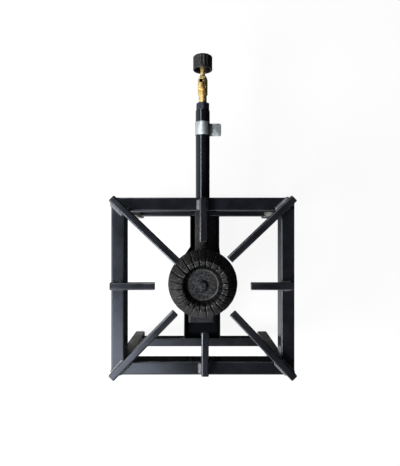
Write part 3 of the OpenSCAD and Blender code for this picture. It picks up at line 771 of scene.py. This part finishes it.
leg_beads = []
for name in LEGS:
    low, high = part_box(name)
    corners = [(low.x, low.y), (high.x, low.y), (high.x, high.y), (low.x, high.y)]
    tops = [Vector((x, y, high.z)) for x, y in corners]
    for first, second in zip(tops, tops[1:] + tops[:1]):
        start = first.lerp(second, SEAM_MARGIN)
        end = second.lerp(first, SEAM_MARGIN)
        leg_beads.append(lay_bead(start, end, *LEG_BEAD))
for name in RAILS:
    low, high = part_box(name)
    outer = low.y if "front" in name else high.y
    for x in (low.x, high.x):
        for z in (high.z, low.z):
            leg_beads.append(lay_bead((x, low.y + MM, z), (x, high.y - MM, z), *RAIL_BEAD))
        leg_beads.append(lay_bead((x, outer, low.z + MM), (x, outer, high.z - MM), *RAIL_SIDE_BEAD))
join_beads("weld_beads_legs", leg_beads)

# %% [markdown]
# ## Beads on the frame's corners, the carrier and the seat
#
# The mitred corners of the frame are welded inside the hole, from top to bottom. The carrier is welded
# to the rails along both its side walls, and the seat is tacked to the carrier with three short beads
# a side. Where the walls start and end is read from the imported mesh.

# %% Weld the corners, the carrier and the seat
CORNER_BEAD = (2.2 * MM, 2.2 * MM)
TACK_BEAD = (2.4 * MM, 2.4 * MM)
TACKS = ((0.06, 0.24), (0.42, 0.60), (0.76, 0.94))
TOUCHING = 0.01 * MM

corner_beads = []
tube_low, tube_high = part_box("frame_front_bar")
for x in (HOLE_LOW.x, HOLE_HIGH.x):
    for y in (HOLE_LOW.y, HOLE_HIGH.y):
        bottom = (x, y, tube_low.z + MM)
        top = (x, y, tube_high.z - 2 * MM)
        corner_beads.append(lay_bead(bottom, top, *CORNER_BEAD))
carrier_low, carrier_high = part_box("burner_carrier")
carrier_points = [vertex.co for vertex in nodes["burner_carrier"].data.vertices]
for y in (carrier_low.y, carrier_high.y):
    end_points = [point for point in carrier_points if abs(point.y - y) < TOUCHING]
    feet = [point for point in end_points if point.z < carrier_low.z + TOUCHING]
    brims = [point for point in end_points if point.z > carrier_high.z - TOUCHING]
    for pick_side in (min, max):
        foot = pick_side(feet, key=lambda point: point.x)
        brim = pick_side(brims, key=lambda point: point.x)
        corner_beads.append(lay_bead(foot, brim, *CORNER_BEAD))
seat_low, seat_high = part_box("burner_seat")
seat_depth = seat_high.y - seat_low.y
for x in (seat_low.x, seat_high.x):
    for start, end in TACKS:
        near = (x, seat_low.y + start * seat_depth, seat_low.z)
        far = (x, seat_low.y + end * seat_depth, seat_low.z)
        corner_beads.append(lay_bead(near, far, *TACK_BEAD))
join_beads("weld_beads_carrier", corner_beads)
bpy.data.objects.remove(bead)

# %% [markdown]
# ## Cast iron
#
# Iron from a sand mould is rough and nearly black, with lighter grains where it is rubbed and a brown
# bloom where it has been hot. On this burner the well round the middle disc is painted nearly black, as
# painted shade for the shadow in that hollow, and the outer slope has bloom all over. The disc's rim has
# a fine lip, which is a bump in the material here and not a shape in the mesh, and the rim is painted
# lighter, partly as wear and partly as a painted highlight along the lip. All of these are rings, so they
# follow from how far a point lies from the burner's axis.

# %% Mix the cast iron
IRON_TONE = (0.025, 0.0275, 0.031)
IRON_BLOOM = rgb(0.036, 0.028, 0.023)
IRON_RUBBED = rgb(0.30, 0.29, 0.28)
WELL_SHADE_BLACK = rgb(0.0006, 0.0006, 0.0008)
RIM_START = 25.2 * MM
RIM_END = 27.2 * MM
RIM_EDGE = 0.6 * MM
WELL_START = 27.5 * MM
WELL_END = 33.5 * MM
WELL_EDGE = 1 * MM
SLOPE_START = 36 * MM
SLOPE_FULL = 44 * MM
LIP_HEIGHT = 0.9 * MM
IRON_RELIEF = 0.6 * MM

iron = Finish("burner_iron", Specular_IOR_Level=0.12)
grain = iron.noise(3.4 * MM, detail=4, roughness=0.7, seed=2.0)
lump = iron.noise(5 * MM, detail=3, seed=5.5)
patch = iron.noise(30 * MM, detail=3, seed=8.8)
out = iron.from_axis(BURNER_MIDDLE)
# The rim ring is painted lighter: partly wear, partly a painted highlight along the lip.
rim_wear_and_highlight = out.rise(RIM_START, RIM_START + RIM_EDGE) * out.rise(RIM_END, RIM_END - RIM_EDGE)
iron_rub_and_highlight = (iron.ridges(0.51, 0.56) * grain.rise(0.4, 0.6)).at_least(rim_wear_and_highlight * 0.35)
well = out.rise(WELL_START, WELL_START + WELL_EDGE) * out.rise(WELL_END + WELL_EDGE, WELL_END)
skin = iron.mix(grain.rise(0.45, 0.58), shade(IRON_TONE, 0.2), shade(IRON_TONE, 3.0))
slope = out.rise(SLOPE_START, SLOPE_FULL)
bloomed = iron.mix((patch.rise(0.42, 0.7) * 0.6).at_least(slope * 0.45), skin, IRON_BLOOM)
worn = iron.mix(iron_rub_and_highlight * 0.9, bloomed, IRON_RUBBED)
# The well is painted nearly black: painted shade in the hollow round the disc.
iron.set(Base_Color=iron.mix(well * 0.92, worn, WELL_SHADE_BLACK))
iron.set(Metallic=iron_rub_and_highlight * 0.6)
iron.set(Roughness=0.38 + grain * 0.25 - iron_rub_and_highlight * 0.15)
lip = iron.bump(out.rise(RIM_START, RIM_END), LIP_HEIGHT)
rough = iron.bump(lump, IRON_RELIEF, 0.7, under=lip)
iron.set(Normal=iron.bump(grain, IRON_RELIEF, 0.9, under=rough))
print(iron.material.name, "with", len(iron.tree.nodes), "nodes")

# %% [markdown]
# ## The burner castings
#
# Sand casting rounds every edge a little and leaves a grain all over. Carving that by hand would take
# long, so the castings are made the other way round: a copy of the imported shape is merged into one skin
# and rebuilt from small voxels, which takes the sharpness off each edge. A short smoothing and a fine
# noise then give the grain of the sand. The cap rides on its own body, because it lifts off.

# %% Rebuild the castings
SAND_SIZE = 2.2 * MM
SAND_LEVEL = 0.62


def casting(name, voxel, grain_depth):
    """A sand-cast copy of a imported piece."""
    copy = nodes[name].copy()
    copy.data = nodes[name].data.copy()
    copy.parent = None
    for key in list(copy.keys()):
        del copy[key]
    bpy.context.scene.collection.objects.link(copy)
    only(copy)
    bpy.ops.object.mode_set(mode="EDIT")
    bpy.ops.mesh.select_all(action="SELECT")
    bpy.ops.mesh.remove_doubles(threshold=1e-6)
    bpy.ops.object.mode_set(mode="OBJECT")
    modify(copy, "REMESH", mode="VOXEL", voxel_size=voxel, use_smooth_shade=True)
    modify(copy, "SMOOTH", factor=0.5, iterations=2)
    sand = bpy.data.textures.new(name + "_sand", "CLOUDS")
    sand.noise_scale = SAND_SIZE
    relief = {"strength": grain_depth, "mid_level": SAND_LEVEL}
    modify(copy, "DISPLACE", texture=sand, texture_coords="LOCAL", **relief)
    return copy


bowl = casting("burner_bowl", 1.0 * MM, 0.35 * MM)
cap = casting("burner_cap", 0.75 * MM, 0.4 * MM)
look = iron.material
settle(bowl, "burner_bowl_cast", "stove", look, replaced=["burner_bowl"], angle=70)
settle(cap, "burner_cap_cast", "cap", look, replaced=["burner_cap"], angle=70)
print("bowl", len(bowl.data.polygons), "faces, cap", len(cap.data.polygons), "faces")

# %% [markdown]
# ## Zinc
#
# The air shutter is a pale piece among the black ones. Zinc from a hot bath sets in crystals, called
# spangle, and here the tone changes from the middle of each crystal to its border. The rolls leave fine
# lines across it, and fingers leave darker smudges.

# %% Mix the zinc
zinc = Finish("zinc_sheet", Specular_IOR_Level=0.5)
spangle = zinc.cells(4 * MM)
roll = zinc.noise(1.2 * MM, detail=2, stretch=(1, 12, 1))
smudge = zinc.noise(12 * MM, detail=4, seed=4.0)
zinc_tone = zinc.mix(spangle.rise(0.1, 0.9), rgb(0.50, 0.56, 0.59), rgb(0.66, 0.71, 0.73))
zinc.set(Base_Color=zinc.mix(smudge.rise(0.45, 0.75) * 0.5, zinc_tone, rgb(0.30, 0.33, 0.35)))
zinc.set(Metallic=0.75 - smudge * 0.2)
zinc.set(Roughness=0.34 + smudge * 0.2)
zinc.set(Normal=zinc.bump(roll, 0.06 * MM, 0.5))
print(zinc.material.name, "with", len(zinc.tree.nodes), "nodes")

# %% [markdown]
# ## The air shutter
#
# A strip of zinc-coated sheet is bent round the tube and springs onto it, and its end sticks out as a
# finger tab. It is modelled the way it is bent. A flat tab comes first, its inner edge is spun round the
# tube's axis for the band, and the sheet then gets its thickness and slightly broken edges.

# %% Bend the air shutter
shutter_joint = joints["air_shutter_turn"]
LINE_AXIS = Vector(shutter_joint["axis"]).normalized()
SHUTTER_MIDDLE = Vector(shutter_joint["pos_m"])
LINE_TURN = LINE_AXIS.to_track_quat("Y", "Z").to_matrix().to_4x4()
SHEET = 1.0 * MM
SHEET_EDGE = 0.22 * MM
TUBE_RADIUS = 12.7 * MM
SPRING_GAP = 0.05 * MM
BAND_RADIUS = TUBE_RADIUS + SPRING_GAP + SHEET / 2
BAND_GAP = radians(70)
BAND_STEPS = 60
TAB_DROP = 6.2 * MM
TAB_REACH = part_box("air_shutter")[1].x
TAB_ROUND = 3.5 * MM
SHUTTER_WIDTH = 23 * MM

fold_x = (BAND_RADIUS ** 2 - TAB_DROP ** 2) ** 0.5
tab_length = TAB_REACH - fold_x
bpy.ops.object.select_all(action="DESELECT")
bpy.ops.mesh.primitive_plane_add(size=1, location=(fold_x + tab_length / 2, 0, -TAB_DROP))
shutter = bpy.context.object
bpy.ops.object.mode_set(mode="EDIT")
bpy.ops.mesh.select_all(action="SELECT")
bpy.ops.transform.resize(value=(tab_length, SHUTTER_WIDTH, 1))
bpy.ops.object.mode_set(mode="OBJECT")
bpy.ops.object.transform_apply(location=True, rotation=True, scale=True)
bpy.ops.object.mode_set(mode="EDIT")
pick(shutter, "verts", lambda vertex: vertex.co.x > TAB_REACH - MM)
bpy.ops.mesh.bevel(offset=TAB_ROUND, segments=6, affect="VERTICES")
pick(shutter, "edges", lambda edge: all(v.co.x < fold_x + 0.1 * MM for v in edge.verts))
bpy.ops.mesh.spin(steps=BAND_STEPS, angle=-(2 * pi - BAND_GAP), center=(0, 0, 0), axis=(0, 1, 0))
bpy.ops.mesh.select_all(action="SELECT")
bpy.ops.mesh.remove_doubles(threshold=1e-6)
bpy.ops.mesh.normals_make_consistent(inside=False)
bpy.ops.object.mode_set(mode="OBJECT")
modify(shutter, "SOLIDIFY", thickness=SHEET, offset=0)
modify(shutter, "BEVEL", width=SHEET_EDGE, segments=2, limit_method="ANGLE", angle_limit=radians(50))
place = Matrix.Translation(SHUTTER_MIDDLE) @ LINE_TURN
settle(shutter, "air_shutter_bent", "shutter", zinc.material, place, ["air_shutter"])
print("shutter tab", round(tab_length / MM, 1), "mm long")

# %% [markdown]
# ## Black plastic
#
# The knob is moulded in black plastic. New, it would be evenly dull. Grime settles in patches, and the
# edges of the flutes are painted grey, partly as rubbing by fingers and partly as painted highlights
# along them, so both are part of the mix.

# %% Mix the knob's plastic
plastic = Finish("knob_plastic", Specular_IOR_Level=0.5)
pores = plastic.noise(0.7 * MM, detail=2)
grime = plastic.noise(6 * MM, detail=4, seed=6.0)
# The grey flute edges are partly finger wear and partly painted highlights.
knob_rub_and_highlight = plastic.edges(0.8 * MM) * grime.rise(0.4, 0.7)
plastic_tone = plastic.mix(grime.rise(0.4, 0.75), rgb(0.012, 0.012, 0.014), rgb(0.024, 0.024, 0.027))
plastic.set(Base_Color=plastic.mix(knob_rub_and_highlight, plastic_tone, rgb(0.13, 0.13, 0.14)))
plastic.set(Roughness=0.36 + grime * 0.15)
plastic.set(Normal=plastic.bump(pores, 0.05 * MM, 0.6))
print(plastic.material.name, "with", len(plastic.tree.nodes), "nodes")

# %% [markdown]
# ## The knob
#
# The knob is a cup with flutes to grip, a hub inside for the spindle and a screw in its outer end. It
# starts as a cylinder whose outer end is extruded to the knob's full length. Every flute is a set of
# long edges that are pressed towards the axis, and the round flute decides how far each edge goes.

# %% Model the knob
knob_low, knob_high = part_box("valve_knob")
KNOB_RADIUS = (knob_high.x - knob_low.x) / 2
KNOB_LENGTH = 23 * MM
FLUTES = 16
SIDES = 8 * FLUTES
FLUTE_START = 3 * MM
FLUTE_RADIUS = 2.6 * MM
FLUTE_DEPTH = 1.0 * MM
FLUTE_EASE = 1.0 * MM
EDGES_IN_HALF_FLUTE = 3
TOP_EDGE = 1.2 * MM


def from_flute(point):
    """Angle of a point round the knob's own axis, from the nearest flute's middle."""
    step = 2 * pi / FLUTES
    return abs((atan2(point.y, point.x) + step / 2) % step - step / 2)


def groove(angle):
    """Share of the knob's radius that is left at an angle from a flute's middle."""
    centre = KNOB_RADIUS - FLUTE_DEPTH + FLUTE_RADIUS
    inner = FLUTE_RADIUS ** 2 - (centre * sin(angle)) ** 2
    if inner <= 0:
        return 1.0
    return min(1.0, (centre * cos(angle) - inner ** 0.5) / KNOB_RADIUS)


def in_flute(vertex, angle):
    """Whether a vertex lies above the flutes' start, at an angle from a flute's middle."""
    return vertex.co.z > FLUTE_START + FLUTE_EASE / 2 and abs(from_flute(vertex.co) - angle) < 0.01


bpy.ops.object.select_all(action="DESELECT")
bpy.ops.mesh.primitive_cylinder_add(
    vertices=SIDES, radius=KNOB_RADIUS, depth=FLUTE_START, location=(0, 0, FLUTE_START / 2)
)
knob = bpy.context.object
bpy.ops.object.transform_apply(location=True)
bpy.ops.object.mode_set(mode="EDIT")
pick(knob, "faces", lambda face: face.normal.z > 0.9)
for step in (FLUTE_EASE, KNOB_LENGTH - FLUTE_START - FLUTE_EASE - TOP_EDGE, TOP_EDGE):
    bpy.ops.mesh.extrude_region_move(TRANSFORM_OT_translate={"value": (0, 0, step)})
pick(knob, "verts", lambda vertex: vertex.co.z > KNOB_LENGTH - 1e-6)
bpy.ops.transform.resize(value=(1 - TOP_EDGE / KNOB_RADIUS, 1 - TOP_EDGE / KNOB_RADIUS, 1))
for number in range(EDGES_IN_HALF_FLUTE):
    angle = number * 2 * pi / SIDES
    share = groove(angle)
    pick(knob, "verts", lambda vertex: in_flute(vertex, angle))
    bpy.ops.transform.resize(value=(share, share, 1), center_override=(0, 0, 0))
print("knob", round(KNOB_RADIUS / MM, 2), "mm radius,", len(knob.data.vertices), "points so far")

# %% [markdown]
# ## The inside of the knob
#
# The cup, the hub and the spindle's hole are sunk into the end that faces the valve, and the screw's
# recess into the other end. Each is the same move: inset a round face, then push it along the axis. The
# rims are broken last, and the knob is turned onto the gas line.

# %% Hollow the knob
CUP_WALL = 3 * MM
CUP_DEPTH = 14 * MM
CUP_RADIUS = KNOB_RADIUS - CUP_WALL
CUP_EDGE = 0.5 * MM
HUB_RADIUS = 7.5 * MM
HUB_IN = 6 * MM
SPINDLE_RADIUS = 4.25 * MM
SPINDLE_DEPTH = 8 * MM
HEAD_RADIUS = 4.3 * MM
HEAD_RECESS = 3 * MM
TOP_RADIUS = KNOB_RADIUS - TOP_EDGE


def is_end(face, radius):
    """Whether a face is the disc of that radius in the middle of an end."""
    return len(face.verts) >= SIDES and abs(max(v.co.xy.length for v in face.verts) - radius) < 0.6 * MM


def sink(end, radius, inner, depth):
    """Insets the disc of a radius at the upper end, 1, or the lower one, -1, and moves its inside."""
    count = pick(knob, "faces", lambda face: face.normal.z * end > 0.9 and is_end(face, radius))
    bpy.ops.mesh.inset(thickness=radius - inner)
    bpy.ops.mesh.extrude_region_move(TRANSFORM_OT_translate={"value": (0, 0, depth)})
    return count


def on_cup_rim(edge):
    """Whether an edge runs round the cup's rim, and not across it."""
    first, second = (vertex.co for vertex in edge.verts)
    low = (first + second).z / 2 < 1e-6
    round_it = abs(first.xy.length - second.xy.length) < 1e-6
    return low and round_it and edge.is_manifold and ((first + second) / 2).xy.length > 10 * MM


sunk = sink(-1, KNOB_RADIUS, CUP_RADIUS, CUP_DEPTH)
sunk += sink(-1, CUP_RADIUS, HUB_RADIUS, HUB_IN - CUP_DEPTH)
sunk += sink(-1, HUB_RADIUS, SPINDLE_RADIUS, SPINDLE_DEPTH)
sunk += sink(1, TOP_RADIUS, HEAD_RADIUS, -HEAD_RECESS)
pick(knob, "edges", on_cup_rim)
bpy.ops.mesh.bevel(offset=CUP_EDGE, segments=2, affect="EDGES")
bpy.ops.mesh.select_all(action="SELECT")
bpy.ops.mesh.normals_make_consistent(inside=False)
bpy.ops.object.mode_set(mode="OBJECT")
knob_start = Vector(joints["knob_turn"]["pos_m"]) - LINE_AXIS * KNOB_LENGTH / 2
place = Matrix.Translation(knob_start) @ LINE_AXIS.to_track_quat("Z", "Y").to_matrix().to_4x4()
look = plastic.material
settle(knob, "valve_knob_moulded", "knob", look, place, ["valve_knob"], angle=28)
print("ends sunk:", sunk)

# %% [markdown]
# ## Brass and small parts
#
# The valve is turned and drilled from brass bar. Turning leaves fine rings round the axis, handling
# dulls it in brown patches, and rubbing keeps the edges bright. The hose tail looks up at the camera,
# and its open bore lies in shade, so its brass is painted nearly black close to its own axis, as painted
# shade. The bolt, the washer and the screw are plated steel, and the packing is white fibre. All keep
# their imported shapes.

# %% Mix the turned metals
TAIL_FOOT = (-0.002163, 0.220772, 0.14984)
TAIL_AXIS = (-0.100967, 0.191178, 0.976349)
BORE_RADIUS = 3.3 * MM
BORE_EDGE = 0.2 * MM
BORE_SHADE_BLACK = rgb(0.004, 0.003, 0.003)
RINGS_PER_METRE = 2600.0
BRASS_TONE = (0.98, 0.73, 0.31)
BRASS_DULL = rgb(0.36, 0.20, 0.04)
STEEL_TONE = (0.55, 0.55, 0.56)
STEEL_DULL = rgb(0.30, 0.29, 0.28)


def turned_metal(name, tone, dull, metallic, gloss, bored=False):
    """Metal turned on a lathe round the gas line, dulled in patches, with painted shade inside the tail's
    bore.
    """
    metal = Finish(name, Specular_IOR_Level=0.5)
    along = metal.vector("DOT_PRODUCT", metal.place, LINE_AXIS, output="Value")
    sockets = {"W": along, "Scale": RINGS_PER_METRE, "Detail": 2.0}
    rings = metal.add("ShaderNodeTexNoise", {"noise_dimensions": "1D"}, sockets)
    tarnish = metal.noise(5 * MM, detail=4, seed=1.5)
    fine = metal.noise(0.8 * MM, detail=2, seed=3.0)
    body = metal.mix(tarnish.rise(0.42, 0.72), rgb(*tone), dull)
    shown = metal.mix(metal.edges(0.6 * MM) * 0.6, body, shade(tone, 1.2))
    bore_shade = 0.0
    if bored:
        # Painted shade: the brass inside the open bore is made nearly black and dull.
        bore_shade = metal.from_line(TAIL_FOOT, TAIL_AXIS).rise(BORE_RADIUS + BORE_EDGE, BORE_RADIUS)
        shown = metal.mix(bore_shade, shown, BORE_SHADE_BLACK)
    metal.set(Base_Color=shown)
    metal.set(Metallic=metallic - tarnish * 0.15 - bore_shade * 0.6)
    metal.set(Roughness=gloss + tarnish * 0.25 + bore_shade * 0.4)
    low = metal.bump(fine, 0.08 * MM, 0.5)
    metal.set(Normal=metal.bump(rings, 0.05 * MM, 0.5, under=low))
    return metal.material


brass = turned_metal("turned_brass", BRASS_TONE, BRASS_DULL, 0.75, 0.26)
tail_brass = turned_metal("tail_brass", BRASS_TONE, BRASS_DULL, 0.75, 0.26, bored=True)
steel = turned_metal("plated_steel", STEEL_TONE, STEEL_DULL, 1.0, 0.3)
packing = Finish("packing_fibre", Roughness=0.9)
strands = packing.noise(0.9 * MM, detail=3, stretch=(1, 4, 1))
packing.set(Base_Color=packing.mix(strands, rgb(0.62, 0.60, 0.54), rgb(0.82, 0.80, 0.74)))
packing.set(Normal=packing.bump(strands, 0.2 * MM, 0.8))
repaint(["gas_jet", "valve_body", "gland_nut", "valve_spindle"], brass)
repaint(["hose_tail"], tail_brass)
repaint(["burner_bolt", "burner_washer", "knob_screw"], steel)
repaint(["gland_packing"], packing.material)
